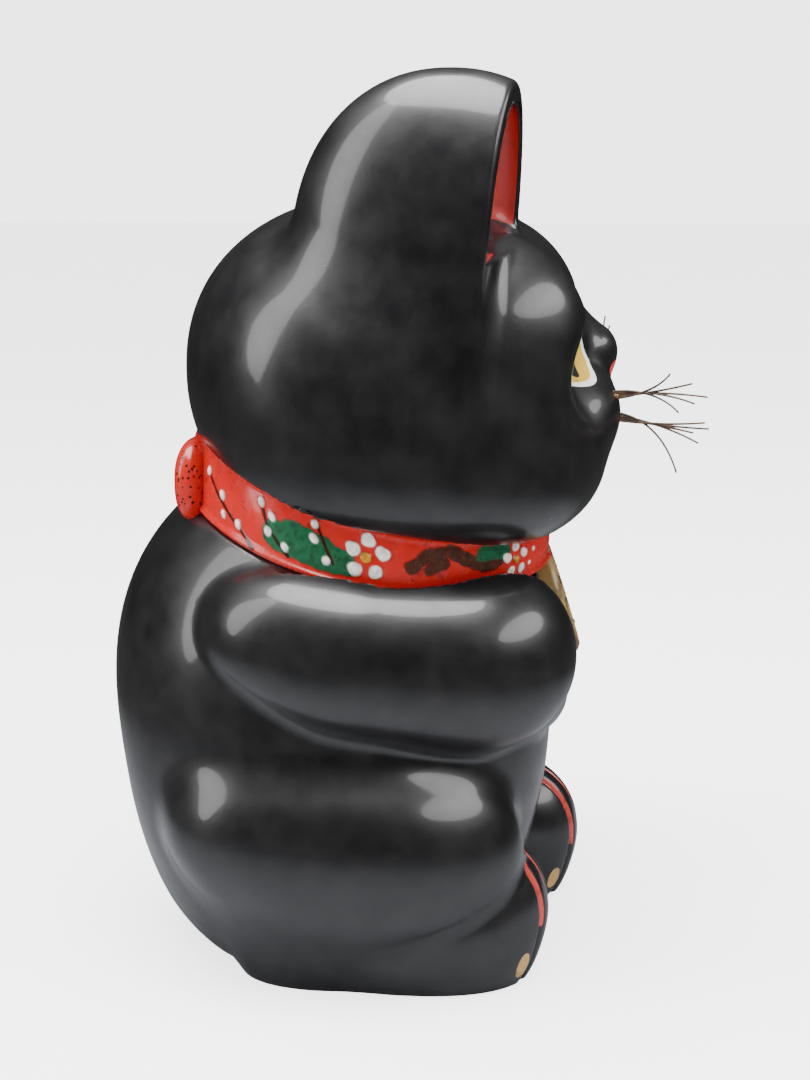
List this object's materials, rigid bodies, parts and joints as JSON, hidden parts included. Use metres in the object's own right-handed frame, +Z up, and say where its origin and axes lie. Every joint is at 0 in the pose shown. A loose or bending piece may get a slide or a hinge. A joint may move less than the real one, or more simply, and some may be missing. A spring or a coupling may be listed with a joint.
{
  "type": "beckoning cat figurine",
  "caption": "Seated glazed ceramic cat with a paw raised beside its head, another folded under a coin, a painted collar with a bow, tall ears and bristle whiskers.",
  "frame": {"origin": "on the floor, in the cat's middle plane, under the middle of the body: a point of the base slab's underside", "axes": "+Z up; the cat faces -Y, so its right side is -X and its raised left arm is at +X"},
  "size_m": [0.232, 0.2506, 0.373],
  "materials": {
    "black_glaze": "glossy black glaze",
    "bare_clay": "unglazed fired clay",
    "red_enamel": "glossy red overglaze enamel with painted flowers and leaves",
    "gold_enamel": "aged gold paint over relief",
    "bristle": "dark brown bristle",
    "glue": "aged brown glue"
  },
  "bodies": {
    "root": {"body_casting": "black_glaze", "head_casting": "black_glaze", "base_slab": "bare_clay", "right_ear": "black_glaze", "left_ear": "black_glaze", "right_arm": "black_glaze", "left_arm": "black_glaze", "right_foot": "black_glaze", "left_foot": "black_glaze", "tail": "black_glaze", "collar_band": "red_enamel", "collar_bow": "red_enamel", "koban_coin": "gold_enamel", "whiskers_right_upper": "bristle", "whisker_glue_right_upper": "glue", "whiskers_right_lower": "bristle", "whisker_glue_right_lower": "glue", "whiskers_left_upper": "bristle", "whisker_glue_left_upper": "glue", "whiskers_left_lower": "bristle", "whisker_glue_left_lower": "glue"}
  },
  "joints": []
}
